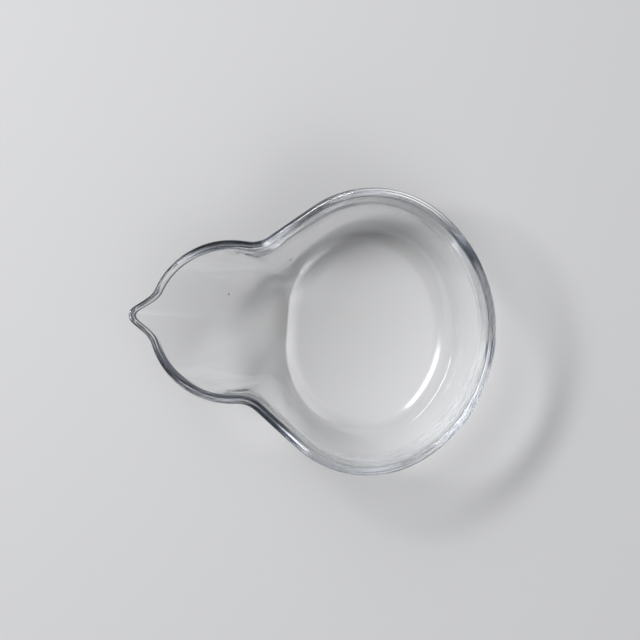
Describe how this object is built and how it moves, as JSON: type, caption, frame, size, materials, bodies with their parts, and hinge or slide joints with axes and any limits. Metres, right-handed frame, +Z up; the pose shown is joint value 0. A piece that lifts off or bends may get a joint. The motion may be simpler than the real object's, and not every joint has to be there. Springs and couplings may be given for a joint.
{
  "type": "spouted glass dish",
  "caption": "Oval flat-based clear glass dish that opens into a wide rising trough with a small pointed pouring lip.",
  "frame": {"origin": "centre of the flat oval foot's underside, on the surface that the dish rests on", "axes": "+Z up, +X from the pouring lip towards the bowl's far side, +Y across the dish, XZ is its mirror plane"},
  "size_m": [0.1237, 0.0962, 0.04],
  "materials": {
    "clear_glass": "polished"
  },
  "bodies": {
    "root": {"base": "clear_glass", "bowl_wall": "clear_glass", "spout": "clear_glass", "pouring_lip": "clear_glass"}
  },
  "joints": []
}
